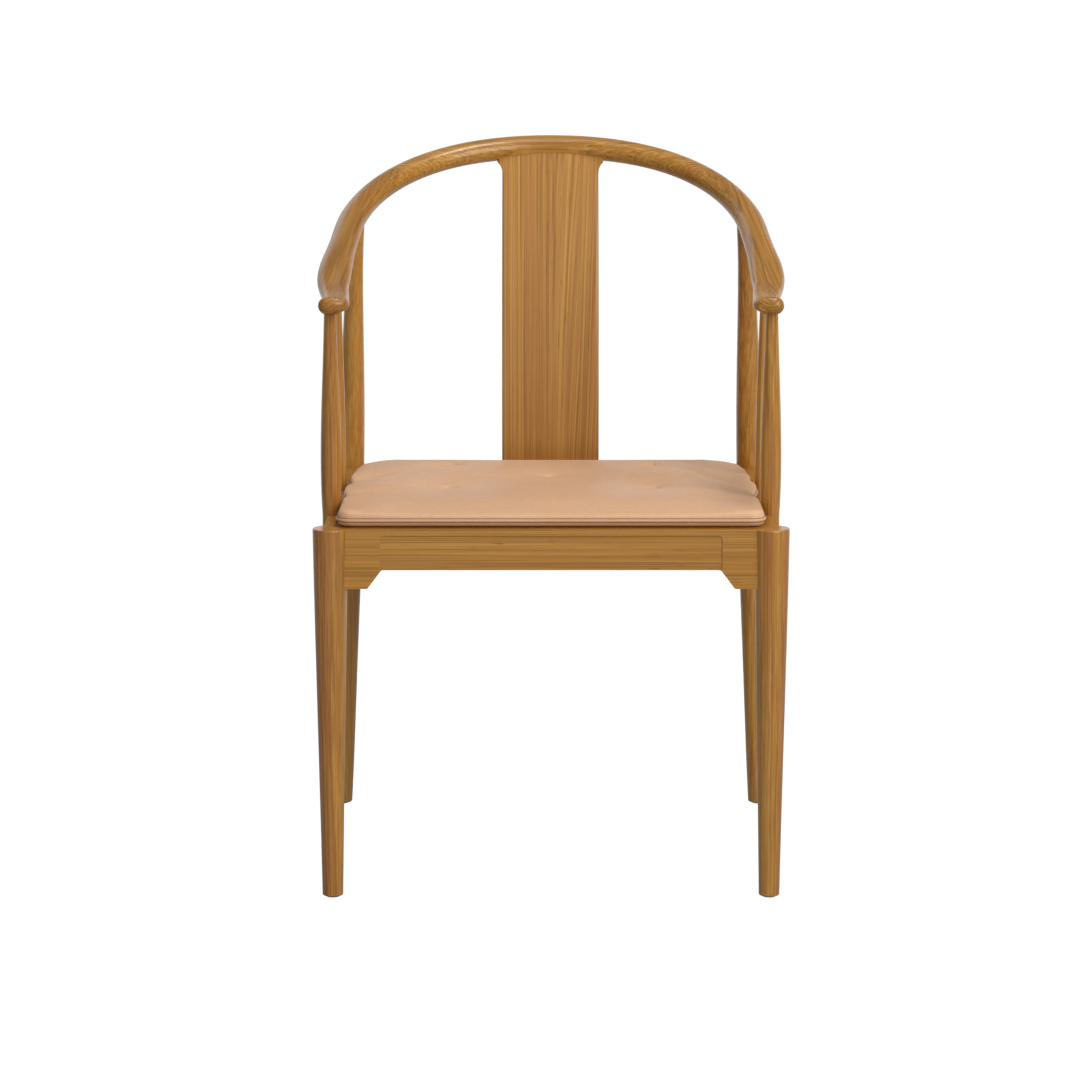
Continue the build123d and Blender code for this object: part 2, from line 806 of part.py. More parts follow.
def build_frame(arm_blank):
    """Write legs, rails and seat panel, each cut to fit the others."""
    front_y = front_leg_y - front_rail_forward
    rear_y = behind(rear_seat_behind) + rear_rail_backward
    rear_x = rear_seat_spacing / 2
    front_frame = Plane((-front_leg_x, front_y, 0), x_dir=(1, 0, 0), z_dir=(0, 0, 1))
    rear_frame = Plane((rear_x, rear_y, 0), x_dir=(-1, 0, 0), z_dir=(0, 0, 1))
    side_frame = side_plane() * Pos(0, -side_rail_outward, 0)
    front_leg = make_front_leg()
    rear_leg = make_rear_leg()
    panel = seat_panel_blank()
    corners = [Corner(rear=False), Corner(rear=True)]
    holes = [hole for corner in corners for hole in corner.screws(screw_gap)]
    twin_holes = holes + [mirrored(hole) for hole in holes]
    rail_sockets = support_sockets()[0]

    front_rail = cut(front_frame * rail_blank(front_leg_spacing), [*both_sides(front_leg), panel])
    front_rail += front_frame * cross_tenons(front_leg_spacing)
    side_blank = cut(side_frame * rail_blank(side_length()), [front_leg, rear_leg])
    side_rail = side_blank - panel + side_frame * side_tenons(side_length())
    rear_cuts = [*both_sides(rear_leg), *both_sides(side_blank), panel]
    rear_rail = cut(rear_frame * rail_blank(rear_seat_spacing), rear_cuts)
    rear_rail += rear_frame * cross_tenons(rear_seat_spacing)

    splat_mortise = splat_tenon(glue_gap)
    save(cut(front_rail, twin_holes), "front_rail")
    save(cut(rear_rail, [*twin_holes, splat_mortise]), "rear_rail")
    save_pair(cut(side_rail, [*holes, rail_sockets]), "side_rail")

    side_room = side_frame * side_tenons(side_length(), glue_gap)
    front_room = front_frame * cross_tenons(front_leg_spacing, glue_gap)
    rear_room = rear_frame * cross_tenons(rear_seat_spacing, glue_gap)
    front_leg = cut(front_leg, [side_room, front_room, glide_shank(front_leg_x, front_leg_y, glue_gap)])
    foot = rear_leg_centre(0)
    rear_leg = cut(rear_leg, [side_room, rear_room, glide_shank(foot.X, foot.Y, glue_gap), arm_blank])
    save_pair(front_leg, "front_leg")
    save_pair(rear_leg + rear_leg_tenon(), "rear_leg")

    leg_rooms = both_sides(make_front_leg(2 * leg_gap)) + both_sides(make_rear_leg(2 * leg_gap))
    save(cut(seat_panel_blank(seat_panel_gap), [*leg_rooms, *twin_holes]), "seat_panel")
    for corner, place in zip(corners, ("front", "rear")):
        block = cut(corner.block(), [*leg_rooms, *holes])
        save_pair(block, f"corner_block_{place}")
    screws = [piece for corner in corners for piece in corner.screws()]
    twins = [mirrored(piece) for piece in screws]
    save(Compound(children=screws + twins), "corner_block_screws")
    places = [(front_leg_x, front_leg_y), (foot.X, foot.Y)]
    glides = [make_glide(side * x, y) for side in (-1, 1) for x, y in places]
    save(Compound(children=glides), "foot_glides")


def build_cushion():
    """Write the loose cushion: foam, leather cover, piping and buttons."""
    outside = cushion_block()
    foam = cushion_block(cover_thickness)
    piping = make_piping()
    buttons = [make_button(x, y) for x, y in button_places()]
    cover = cut(outside - foam, [piping, *buttons])
    save(foam, "cushion_foam")
    save(cover, "cushion_cover")
    save(piping, "cushion_piping")
    save(Compound(children=buttons), "cushion_buttons")


os.makedirs("parts", exist_ok=True)
splat = make_splat()
save(splat, "back_splat")
arm_blank = build_bow(splat)
for piece, node in zip(make_supports(arm_blank), ("arm_post", "side_spindle")):
    save_pair(piece, node)
build_frame(arm_blank)
build_cushion()
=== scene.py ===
import math

import bmesh
import bpy
from mathutils import Matrix, Vector


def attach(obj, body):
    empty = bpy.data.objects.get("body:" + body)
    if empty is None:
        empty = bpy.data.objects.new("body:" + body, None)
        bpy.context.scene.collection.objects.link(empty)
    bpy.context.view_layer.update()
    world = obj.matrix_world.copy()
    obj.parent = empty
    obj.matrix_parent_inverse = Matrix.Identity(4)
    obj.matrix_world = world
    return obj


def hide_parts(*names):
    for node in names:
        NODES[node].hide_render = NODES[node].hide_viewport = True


# Horseshoe back armchair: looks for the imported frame. Metres, +Z up, the sitter faces -Y.

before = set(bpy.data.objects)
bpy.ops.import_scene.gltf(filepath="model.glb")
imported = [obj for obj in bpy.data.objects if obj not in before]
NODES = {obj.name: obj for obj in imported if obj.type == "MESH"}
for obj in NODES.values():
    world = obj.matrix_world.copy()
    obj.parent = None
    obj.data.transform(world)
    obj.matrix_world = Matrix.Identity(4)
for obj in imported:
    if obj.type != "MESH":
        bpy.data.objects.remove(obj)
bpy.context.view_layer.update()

# ---- Camera, fitted to the photograph's perspective
CAMERA_PLACE = Vector((-0.0126, -5.84268, 1.48050))
CAMERA_PITCH = 0.18833
CAMERA_LENS = 167.164
CAMERA_SENSOR = 36.0
CAMERA_REACH = 60.0


def clamp(value):
    return min(1.0, max(0.0, value))


# ---------------------------------------------------------------- small helpers
class Tree:
    """A material's node tree, with short calls for the nodes that this script uses."""

    def __init__(self, name):
        self.material = bpy.data.materials.new(name)
        self.material.use_nodes = True
        self.nodes = self.material.node_tree.nodes
        self.links = self.material.node_tree.links
        self.nodes.clear()
        self.out = self.nodes.new("ShaderNodeOutputMaterial")
        self.shader = self.nodes.new("ShaderNodeBsdfPrincipled")
        self.links.new(self.shader.outputs[0], self.out.inputs[0])

    def node(self, kind, **settings):
        node = self.nodes.new("ShaderNode" + kind)
        for key, value in settings.items():
            setattr(node, key, value)
        return node

    def put(self, socket, value):
        """Link an output, or write a plain value, to a socket."""
        if isinstance(value, bpy.types.NodeSocket):
            self.links.new(value, socket)
        else:
            socket.default_value = value

    def fill(self, node, *values):
        """Put values to a node's inputs, in their order."""
        for socket, value in zip(node.inputs, values):
            self.put(socket, value)

    def surface(self, values):
        """Set inputs of the shader itself, by name."""
        for name, value in values.items():
            self.put(self.shader.inputs[name], value)

    def math(self, operation, *values):
        node = self.node("Math", operation=operation)
        self.fill(node, *values)
        return node.outputs[0]

    def vector_math(self, operation, *values):
        node = self.node("VectorMath", operation=operation)
        self.fill(node, *values)
        return node.outputs["Value" if operation in ("DOT_PRODUCT", "LENGTH") else "Vector"]

    def combine(self, x, y, z):
        node = self.node("CombineXYZ")
        self.fill(node, x, y, z)
        return node.outputs[0]

    def noise(self, vector, scale, detail=2.0, roughness=0.5):
        node = self.node("TexNoise")
        self.put(node.inputs["Vector"], vector)
        self.put(node.inputs["Scale"], scale)
        self.put(node.inputs["Detail"], detail)
        self.put(node.inputs["Roughness"], roughness)
        return node.outputs["Fac"]

    def ramp(self, value, *stops):
        """Colour ramp through (place, colour) stops."""
        node = self.node("ValToRGB")
        elements = node.color_ramp.elements
        while len(elements) < len(stops):
            elements.new(0.5)
        for element, (place, colour) in zip(elements, stops):
            element.position = place
            element.color = (*colour, 1.0)
        self.put(node.inputs[0], value)
        return node.outputs[0]

    def span(self, value, low, high, start=0.0, end=1.0):
        """Map low..high to start..end, clamped."""
        node = self.node("MapRange")
        self.fill(node, value, low, high, start, end)
        return node.outputs[0]

    def curve(self, value, points):
        """Smooth curve through (place, height) points, all between 0 and 1."""
        node = self.node("FloatCurve")
        line = node.mapping.curves[0]
        while len(line.points) < len(points):
            line.points.new(0.5, 0.5)
        for point, place in zip(line.points, points):
            point.location = place
        node.mapping.update()
        self.put(node.inputs["Value"], value)
        return node.outputs[0]

    def mix(self, factor, first, second):
        """Lay the second colour over the first, by the factor."""
        node = self.node("Mix", data_type="RGBA")
        self.put(node.inputs[0], factor)
        for socket, value in zip((node.inputs[6], node.inputs[7]), (first, second)):
            self.put(socket, (*value, 1.0) if isinstance(value, tuple) else value)
        return node.outputs[2]

    def bump(self, height, strength, distance, normal=None):
        node = self.node("Bump")
        node.inputs["Strength"].default_value = strength
        node.inputs["Distance"].default_value = distance
        self.put(node.inputs["Height"], height)
        if normal is not None:
            self.put(node.inputs["Normal"], normal)
        return node.outputs[0]

    def position(self):
        return self.node("TexCoord").outputs["Object"]


def srgb(red, green, blue):
    """Linear colour from the 0..255 numbers that a screen shows."""
    def linear(channel):
        share = channel / 255
        return share / 12.92 if share <= 0.04045 else ((share + 0.055) / 1.055) ** 2.4
    return (linear(red), linear(green), linear(blue))


def grey(level):
    return (level, level, level)


def add_object(name, data):
    """New object in the scene."""
    thing = bpy.data.objects.new(name, data)
    bpy.context.collection.objects.link(thing)
    return thing


def mesh_from(bm, name):
    """Mesh from an edit mesh, which is freed."""
    mesh = bpy.data.meshes.new(name)
    bm.to_mesh(mesh)
    bm.free()
    return mesh


def shade_smooth(mesh):
    for polygon in mesh.polygons:
        polygon.use_smooth = True


# ---------------------------------------------------------------- wood
WOOD_LIGHT = srgb(206, 157, 76)
WOOD_MIDDLE = srgb(182, 126, 48)
WOOD_DARK = srgb(128, 81, 28)
WOOD_RED = srgb(166, 98, 42)
WOOD_ROSE = srgb(180, 127, 78)
WOOD_PORE = srgb(88, 50, 22)

# How far apart the noise of two boards lies, for each step of the seed
SEED_STEP = 3.7
# A grain whose level part is shorter than this counts as upright
NEARLY_UPRIGHT = 0.1
# Where across the board its grain begins to lean, and from where it leans fully
LEAN_FROM, LEAN_FULL = -0.005, 0.035
# Darkness through one year's ring, as (share of the ring, darkness)
YEAR = ((0.0, 0.0), (0.50, 0.08), (0.82, 0.9), (0.92, 1.0), (1.0, 0.0))
# The faintest year's darkness, as a share of the strongest year's
FAINT_YEAR = 0.2
# The rings' slow drift, in two ways across the grain, and their fine waver:
# features per metre along the grain and across it, shift
DRIFT_ACROSS = (1.3, 6.0, 0.0)
DRIFT_THROUGH = (1.3, 6.0, 7.3)
DRIFT_SCALE = 1.6
# Noise strays about a quarter from its middle, so this makes a drift about as wide as told
DRIFT_WIDTH = 4
WAVER = (3.0, 60.0, 0.0)
WAVER_WIDTH = 0.0016
# Streaks: features per metre along the grain and across it, shift, detail, roughness
BANDS = (0.7, 42.0, 0.0, 2.0, 0.5)
WARM_BANDS = (0.6, 34.0, 3.1, 1.0, 0.5)
LIGHT_LINES = (1.0, 330.0, 5.0, 2.0, 0.6)
DARK_LINES = (1.5, 400.0, 17.0, 2.0, 0.6)
FIBRES = (5.0, 900.0, 1.7, 3.0, 0.6)
PORES = (60.0, 1700.0, 0.0, 1.0, 0.5)
DASHES = (34.0, 760.0, 11.0, 0.0, 0.5)


class Board(Tree):
    """A board's node tree, with its coordinates along the grain, across it and through it."""

    def __init__(self, name, along, seed, bend, lean, through):
        super().__init__(name)
        direction = Vector(along).normalized()
        side = direction.cross(Vector((0.0, 0.0, 1.0)))
        if side.length < NEARLY_UPRIGHT:
            side = Vector((1.0, 0.0, 0.0))
        side.normalize()
        third = direction.cross(side).normalized()
        place = self.position()
        self.run, self.across, self.depth = [
            self.vector_math("DOT_PRODUCT", place, tuple(axis)) for axis in (direction, side, third)]
        if bend:
            self.depth = self.math("SUBTRACT", self.depth, self.curve(self.run, bend))
        if lean:
            share = self.span(self.across, LEAN_FROM, LEAN_FULL, 0.0, -lean)
            self.across = self.math("ADD", self.across, self.math("MULTIPLY", self.run, share))
        self.offset = seed * SEED_STEP
        self.through = through

    def stretched(self, lengthways, crossways, shift):
        """Coordinates for streaks: few features along the grain, many across it."""
        return self.combine(self.math("MULTIPLY_ADD", self.run, lengthways, self.offset + shift),
                            self.math("MULTIPLY_ADD", self.across, crossways, shift),
                            self.math("MULTIPLY", self.depth, crossways * self.through))

    def streaks(self, kind, fine=1.0):
        """Noise of one kind of streaks, and finer ones where told."""
        lengthways, crossways, shift, detail, roughness = kind
        return self.noise(self.stretched(lengthways, crossways * fine, shift), 1.0, detail, roughness)

    def wave(self, kind, scale, size):
        """Slow noise about zero."""
        centred = self.math("SUBTRACT", self.noise(self.stretched(*kind), scale), 0.5)
        return self.math("MULTIPLY", centred, size)

    def late_wood(self, pith, ring, wander):
        """Darkness of the rings round the pith, each year of its own strength."""
        width = wander * DRIFT_WIDTH
        drifts = [self.wave(kind, DRIFT_SCALE, width) for kind in (DRIFT_ACROSS, DRIFT_THROUGH)]
        u = self.math("ADD", self.math("ADD", self.across, pith[0]), drifts[0])
        v = self.math("ADD", self.math("ADD", self.depth, pith[1]), drifts[1])
        radius = self.vector_math("LENGTH", self.combine(u, v, 0.0))
        radius = self.math("ADD", radius, self.wave(WAVER, 1.0, WAVER_WIDTH))
        count = self.math("DIVIDE", radius, ring)
        late = self.ramp(self.math("FRACT", count), *[(share, grey(dark)) for share, dark in YEAR])
        strength = self.node("TexWhiteNoise", noise_dimensions="1D")
        self.put(strength.inputs["W"], self.math("ADD", self.math("FLOOR", count), self.offset))
        return self.math("MULTIPLY", late, self.span(strength.outputs["Value"], 0.0, 1.0, FAINT_YEAR, 1.0))


def wood(name, along, pith, seed, ring=0.0042, wander=0.002, red=0.4, rose=0.0, lean=0.0, bend=(),
         fleck=0.3, rings=0.45, lines=0.45, fine=1.0, through=1.0, tone=0.0, coat=0.7):
    """Satin-lacquered wood whose grain runs along a direction, sawn off-centre from the pith.

    pith is the place of the tree's heart, as two distances across the grain. ring is the width of
    a year, and wander is how far its rings stray. On a board's right half the grain leans over by
    the share given as lean. A bent board's grain follows bend, its centre line as (height, depth)
    points. through is how fast the streaks change through the board, against across it. red, rose,
    lines, rings and fleck are how strongly red bands, a rosy cast, light and dark lines, rings and
    dashes show, and fine is how much finer the lines are. tone lightens the board, or darkens it
    where it is below zero. coat is the weight of the lacquer. Widths are in metres."""
    board = Board(name, along, seed, bend, lean, through)
    late = board.late_wood(pith, ring, wander)
    red_bands = board.span(board.streaks(WARM_BANDS), 0.48, 0.64, 0.0, red)
    light_lines = board.span(board.streaks(LIGHT_LINES, fine), 0.48, 0.64, 0.0, lines)
    dark_lines = board.span(board.streaks(DARK_LINES, fine), 0.50, 0.68, 0.0, lines)
    fibres = board.streaks(FIBRES)
    pores = board.span(board.streaks(PORES), 0.70, 0.80)
    dashes = board.span(board.streaks(DASHES), 0.75, 0.83)

    colour = board.ramp(board.streaks(BANDS), (0.32, WOOD_DARK), (0.50, WOOD_MIDDLE), (0.72, WOOD_LIGHT))
    colour = board.mix(0.55, colour, WOOD_MIDDLE)
    colour = board.mix(red_bands, colour, WOOD_RED)
    if rose:
        colour = board.mix(rose, colour, WOOD_ROSE)
    colour = board.mix(light_lines, colour, WOOD_LIGHT)
    colour = board.mix(dark_lines, colour, WOOD_DARK)
    colour = board.mix(board.span(fibres, 0.50, 0.66, 0.0, 0.35), colour, WOOD_LIGHT)
    colour = board.mix(board.span(fibres, 0.50, 0.34, 0.0, 0.35), colour, WOOD_DARK)
    colour = board.mix(board.math("MULTIPLY", late, rings), colour, WOOD_DARK)
    colour = board.mix(board.math("MULTIPLY", pores, 0.30), colour, WOOD_PORE)
    colour = board.mix(board.math("MULTIPLY", dashes, fleck), colour, WOOD_PORE)
    if tone:
        colour = board.mix(abs(tone), colour, WOOD_LIGHT if tone > 0 else WOOD_DARK)

    height = board.math("SUBTRACT", board.math("MULTIPLY", fibres, 0.6), board.math("MULTIPLY", pores, 0.7))
    board.surface({
        "Base Color": colour,
        "Roughness": board.span(fibres, 0.25, 0.8, 0.32, 0.46),
        "Specular IOR Level": 0.2,
        "Coat Weight": coat,
        "Coat Roughness": 0.2,
        "Normal": board.bump(height, 0.05, 0.0002),
    })
    return board.material


UPRIGHT = (0, 0, 1)
SIDE_TO_SIDE = (1, 0, 0)
FRONT_TO_BACK = (0, 1, 0)
# The arms' grain runs from the shoulders of the bow down to the paddles
ARM_RIGHT_RUN = (0.147, -0.935, -0.31)
ARM_LEFT_RUN = (-0.147, -0.935, -0.31)
# The splat's centre line in side view, as (height, distance behind the origin)
SPLAT_BEND = ((0.0, 0.1555), (0.43, 0.1555), (0.52, 0.1545), (0.65, 0.1825), (0.80, 0.2535), (1.0, 0.32))

ARM = dict(wander=0.0012, fleck=0.1)
RAIL = dict(ring=0.0036, red=0.15, rings=0.3, lines=0.38, fine=1.8)
FRONT_LEG = dict(ring=0.0044)
REAR_LEG = dict(along=(0.0, -0.1, 1), ring=0.0046, red=0.6)
POST = dict(along=UPRIGHT, ring=0.0040, red=0.7)
SPINDLE = dict(along=(0, -0.12, 1), ring=0.0040)
BOARDS = {
    "back_splat": dict(along=UPRIGHT, pith=(0.30, 0.02), seed=1, ring=0.0052, wander=0.0008, red=0.5,
                       rose=0.5, lean=0.035, bend=SPLAT_BEND, rings=0.25, lines=0.6, fine=1.7,
                       through=0.05, tone=-0.08),
    "crest_rail": dict(along=SIDE_TO_SIDE, pith=(0.09, 0.75), seed=2, ring=0.0046, wander=0.003, fleck=0.2,
                       rings=0.45, lines=0.6, coat=0.55),
    "arm_right": dict(ARM, along=ARM_RIGHT_RUN, pith=(0.215, 0.733), seed=3, ring=0.0034, rings=0.8,
                      lines=0.5, tone=-0.2, coat=0.45),
    "arm_left": dict(ARM, along=ARM_LEFT_RUN, pith=(-0.24, 0.76), seed=4, ring=0.0040, rings=0.6,
                     lines=0.6, tone=-0.35, coat=0.4),
    "front_rail": dict(RAIL, along=SIDE_TO_SIDE, pith=(0.31, 0.47), seed=5, fleck=0.5),
    "rear_rail": dict(RAIL, along=SIDE_TO_SIDE, pith=(0.21, 0.50), seed=6, fleck=0.5),
    "side_rail_right": dict(RAIL, along=FRONT_TO_BACK, pith=(0.20, 0.50), seed=7, fleck=0.4),
    "side_rail_left": dict(RAIL, along=FRONT_TO_BACK, pith=(-0.20, 0.47), seed=8, fleck=0.4),
    "front_leg_right": dict(FRONT_LEG, along=(0.02, 0, 1), pith=(0.05, 0.12), seed=9, red=0.9),
    "front_leg_left": dict(FRONT_LEG, along=UPRIGHT, pith=(0.35, 0.15), seed=10, red=0.8),
    "rear_leg_right": dict(REAR_LEG, pith=(0.07, 0.22), seed=11),
    "rear_leg_left": dict(REAR_LEG, pith=(0.33, 0.20), seed=12, tone=0.25),
    "arm_post_right": dict(POST, pith=(0.02, 0.22), seed=13),
    "arm_post_left": dict(POST, pith=(0.32, 0.24), seed=14, tone=-0.15),
    "side_spindle_right": dict(SPINDLE, pith=(0.03, 0.2), seed=15),
    "side_spindle_left": dict(SPINDLE, pith=(0.33, 0.2), seed=16),
}
# The blocks, the tenons and the seat panel are of one plainer wood
PLAIN_PIECES = ("corner_block_front_left", "corner_block_front_right", "corner_block_rear_left",
                "corner_block_rear_right", "bow_tenon_left", "bow_tenon_right", "seat_panel")
PLAIN = dict(along=(1, 0.2, 0), pith=(0.05, 0.3), seed=21, ring=0.005, red=0.2, tone=0.25)


def dress(node, material):
    """Give a CAD node one material all over."""
    mesh = NODES[node].data
    mesh.materials.clear()
    mesh.materials.append(material)


for node, look in BOARDS.items():
    dress(node, wood("wood_" + node, **look))
plain_wood = wood("wood_blocks", **PLAIN)
for node in PLAIN_PIECES:
    dress(node, plain_wood)


# ---------------------------------------------------------------- metal, nylon, leather and painted seam shade
# Darkest and lightest colour of the mottled materials
ZINC_COLOURS = (srgb(150, 146, 136), srgb(196, 192, 180))
NYLON_COLOURS = (srgb(58, 44, 34), srgb(74, 58, 46))
# Painted shade: dark colours for the cords that stand in for the seam's shade lines
SEAM_SHADE_COLOURS = (srgb(120, 82, 56), srgb(158, 114, 82))
LEATHER_DARK = srgb(214, 168, 127)
LEATHER_MIDDLE = srgb(219, 174, 134)
LEATHER_LIGHT = srgb(223, 179, 141)
LEATHER_FRECKLE = srgb(198, 150, 110)
LEATHER_CREVICE = srgb(176, 126, 88)
# Pebbles of the leather's grain per metre, and how far noise of two scales shifts them
PEBBLES = 900.0
JITTER_SCALES = (500.0, 430.0)
JITTER = (0.002, 0.002, 0.002)


def mottled(name, scale, colours, roughness, relief, metallic=0.0):
    """Plain material, finely mottled between two colours and two roughnesses."""
    tree = Tree(name)
    cloud = tree.noise(tree.position(), scale)
    tree.surface({
        "Base Color": tree.ramp(cloud, (0.3, colours[0]), (0.7, colours[1])),
        "Metallic": metallic,
        "Roughness": tree.span(cloud, 0.3, 0.7, *roughness),
        "Normal": tree.bump(cloud, relief, 0.0002),
    })
    return tree.material


def leather():
    """Tan leather: pebbled grain, cloudy colour with faint freckles, and soft waves."""
    tree = Tree("tan_leather")
    place = tree.position()
    pebble = tree.node("TexVoronoi", feature="SMOOTH_F1")
    jitter = tree.combine(*[tree.noise(place, scale) for scale in JITTER_SCALES], 0.0)
    jitter = tree.vector_math("MULTIPLY", jitter, JITTER)
    tree.put(pebble.inputs["Vector"], tree.vector_math("ADD", place, jitter))
    tree.put(pebble.inputs["Scale"], PEBBLES)
    grain = pebble.outputs["Distance"]
    cloud = tree.noise(place, 9.0, 3.0, 0.55)
    freckle = tree.noise(place, 160.0, 3.0, 0.6)
    waves = tree.noise(place, 38.0)
    colour = tree.ramp(cloud, (0.30, LEATHER_DARK), (0.50, LEATHER_MIDDLE), (0.72, LEATHER_LIGHT))
    colour = tree.mix(tree.span(freckle, 0.35, 0.75, 0.0, 0.22), colour, LEATHER_FRECKLE)
    colour = tree.mix(tree.span(grain, 0.0, 0.9, 0.12, 0.0), colour, LEATHER_CREVICE)
    tree.surface({
        "Base Color": colour,
        "Roughness": tree.span(freckle, 0.3, 0.7, 0.46, 0.58),
        "Specular IOR Level": 0.35,
        "Sheen Weight": 0.08,
        "Sheen Roughness": 0.4,
        "Normal": tree.bump(waves, 0.05, 0.002, tree.bump(grain, 0.12, 0.00025)),
    })
    return tree.material


zinc = mottled("zinc_screw", 900.0, ZINC_COLOURS, (0.28, 0.42), 0.1, metallic=1.0)
nylon = mottled("glide_nylon", 1400.0, NYLON_COLOURS, (0.45, 0.6), 0.15)
dress("corner_block_screws", zinc)
dress("foot_glides", nylon)
LEATHER = leather()
# Painted shade: the dark material of the cords that draw the seam's shade lines
SEAM_SHADE_MATERIAL = mottled("seam_shade_cords", 1500.0, SEAM_SHADE_COLOURS, (0.55, 0.75), 0.2)


# ---------------------------------------------------------------- floor, light and camera
FLOOR_FRONT = -7.0
FLOOR_REAR = 3.0
FLOOR_SIDES = (-9.0, 9.0)
FLOOR_BELOW_FEET = 0.0004
SWEEP_RADIUS = 2.0
SWEEP_STEPS = 12
BACKDROP_TOP = 7.0
FLOOR_GREYS = (0.40, 0.41)
# White that the floor shows to the camera: its strength, and its share of what is seen
GLOW_STRENGTH = 1.2
GLOW_SHARE = 0.85
# Strength of the white air, on the chair and to the camera
AIR_ON_CHAIR = 0.2
AIR_TO_CAMERA = 1.0
SEAT_MIDDLE = (0.0, 0.0, 0.5)
# Softboxes: name, place, target, width, height, power in watts
SOFTBOXES = (
    ("key_right", (2.2, -2.9, 2.7), SEAT_MIDDLE, 3.0, 3.0, 136),
    ("front", (-1.4, -4.4, 1.2), SEAT_MIDDLE, 1.6, 1.6, 18),
    ("top", (0.1, 0.1, 3.6), SEAT_MIDDLE, 1.6, 1.6, 14),
    ("top_right", (0.7, 0.2, 3.6), (0.0, 0.1, 0.7), 0.7, 0.7, 24),
    ("rim_left", (-1.8, 3.2, 2.8), (0.0, 0.0, 0.7), 1.8, 2.2, 14),
)


def studio_white():
    """Matt material that the camera sees as white, with the chair's shadow still on it."""
    tree = Tree("studio_white")
    cloud = tree.noise(tree.position(), 2.0)
    low, high = [grey(level) for level in FLOOR_GREYS]
    tree.surface({"Base Color": tree.ramp(cloud, (0.0, low), (1.0, high)), "Roughness": 0.9})
    glow = tree.node("Emission")
    glow.inputs["Strength"].default_value = GLOW_STRENGTH
    paths = tree.node("LightPath")
    apart = tree.node("SeparateXYZ")
    tree.put(apart.inputs[0], tree.position())
    # Gloss shows the white mostly behind the chair, and low on the backdrop
    behind = tree.span(apart.outputs["Y"], 0.5, 3.0, 0.1, 1.0)
    behind = tree.math("MULTIPLY", behind, tree.span(apart.outputs["Z"], 1.8, 3.2, 1.0, 0.1))
    mirrored = tree.math("MULTIPLY", paths.outputs["Is Glossy Ray"], behind)
    seen = tree.math("MAXIMUM", paths.outputs["Is Camera Ray"], mirrored)
    mixer = tree.node("MixShader")
    tree.put(mixer.inputs[0], tree.math("MULTIPLY", seen, GLOW_SHARE))
    tree.links.new(tree.shader.outputs[0], mixer.inputs[1])
    tree.links.new(glow.outputs[0], mixer.inputs[2])
    tree.links.new(mixer.outputs[0], tree.out.inputs[0])
    return tree.material


def build_floor():
    """White floor a hair below the feet, which curves up to a white backdrop."""
    profile = [(FLOOR_FRONT, 0.0), (FLOOR_REAR, 0.0)]
    for step in range(1, SWEEP_STEPS + 1):
        turn = math.radians(90 * step / SWEEP_STEPS)
        height = SWEEP_RADIUS - SWEEP_RADIUS * math.cos(turn)
        profile.append((FLOOR_REAR + SWEEP_RADIUS * math.sin(turn), height))
    profile.append((FLOOR_REAR + SWEEP_RADIUS, BACKDROP_TOP))
    bm = bmesh.new()
    rows = []
    for y, z in profile:
        rows.append([bm.verts.new((x, y, z - FLOOR_BELOW_FEET)) for x in FLOOR_SIDES])
    for low, high in zip(rows, rows[1:]):
        bm.faces.new((low[0], low[1], high[1], high[0]))
    mesh = mesh_from(bm, "studio_floor")
    shade_smooth(mesh)
    mesh.materials.append(studio_white())
    return add_object("studio_floor", mesh)


def build_air():
    """White air: dim light on the chair, plain white to the camera."""
    data = bpy.data.worlds.new("studio_air")
    bpy.context.scene.world = data
    data.use_nodes = True
    nodes, links = data.node_tree.nodes, data.node_tree.links
    background = nodes["Background"]
    background.inputs["Color"].default_value = (1.0, 1.0, 1.0, 1.0)
    paths = nodes.new("ShaderNodeLightPath")
    strength = nodes.new("ShaderNodeMapRange")
    strength.inputs["To Min"].default_value = AIR_ON_CHAIR
    strength.inputs["To Max"].default_value = AIR_TO_CAMERA
    links.new(paths.outputs["Is Camera Ray"], strength.inputs["Value"])
    links.new(strength.outputs[0], background.inputs["Strength"])


def build_softbox(name, place, target, width, height, power):
    data = bpy.data.lights.new(name, "AREA")
    data.shape = "RECTANGLE"
    data.size = width
    data.size_y = height
    data.energy = power
    lamp = add_object(name, data)
    lamp.location = place
    lamp.rotation_euler = (Vector(target) - Vector(place)).to_track_quat("-Z", "Y").to_euler()


def build_camera():
    data = bpy.data.cameras.new("camera")
    data.lens = CAMERA_LENS
    data.sensor_width = CAMERA_SENSOR
    data.clip_end = CAMERA_REACH
    camera = add_object("camera", data)
    camera.location = CAMERA_PLACE
    camera.rotation_euler = (math.pi / 2 - CAMERA_PITCH, 0.0, 0.0)
    bpy.context.scene.camera = camera


build_floor()
build_air()
for settings in SOFTBOXES:
    build_softbox(*settings)
build_camera()
bpy.context.scene.view_settings.view_transform = "Standard"

# ---------------------------------------------------------------- cushion
# The line through the front legs' centres, and the cushion's levels
FRONT_Y = -0.2585
CUSHION_BASE = 0.4304
SEAM_LEVEL = 0.4390
TUFT_LEVEL = 0.4440
# Plan of the cushion's right half: corner (x, y) and the radius of its round
CUSHION_CORNERS = (
    (0.2440, FRONT_Y - 0.0025, 0.014),
    (0.2408, FRONT_Y + 0.085, 0.150),
    (0.2412, FRONT_Y + 0.200, 0.300),
    (0.2250, FRONT_Y + 0.366, 0.055),
)
CORNER_STEPS = 10
SEAM_SPACING = 0.006
# Section of the flat cushion, as (distance in from the seam, level)
CUSHION_SECTION = (
    (0.0035, CUSHION_BASE),
    (0.0012, CUSHION_BASE + 0.0015),
    (0.0, SEAM_LEVEL - 0.0020),
    (0.0, SEAM_LEVEL + 0.0020),
    (0.0014, SEAM_LEVEL + 0.0054),
    (0.0060, SEAM_LEVEL + 0.0080),
    (0.0160, SEAM_LEVEL + 0.0088),
)
FACE_SIZE = 0.005
